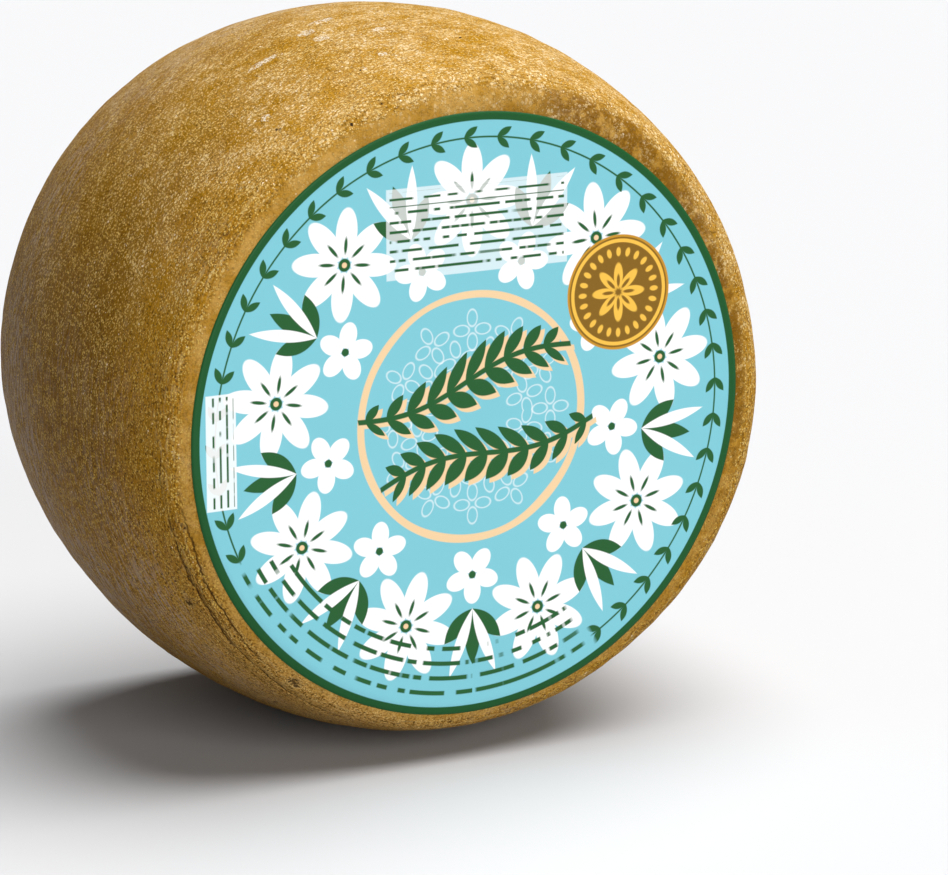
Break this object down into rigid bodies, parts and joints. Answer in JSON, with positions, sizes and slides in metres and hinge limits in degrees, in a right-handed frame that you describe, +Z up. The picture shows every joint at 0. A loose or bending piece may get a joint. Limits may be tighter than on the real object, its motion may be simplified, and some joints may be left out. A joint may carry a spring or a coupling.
{
  "type": "cheese wheel",
  "caption": "Whole round of semi-hard sheep's milk cheese with a bulging ochre rind, standing on its rim, with a round printed paper label on one face.",
  "frame": {"origin": "on the ground under the middle of the part's box, where the rim rests", "axes": "+Z up, Y along the wheel's axis, the labelled face looks along -Y, +X to the right when facing the label"},
  "size_m": [0.2006, 0.1186, 0.1993],
  "materials": {
    "rind": null,
    "paper": "coated paper, sky blue with white and dark green print"
  },
  "bodies": {
    "root": {"cheese": "rind", "label": "paper"}
  },
  "joints": []
}
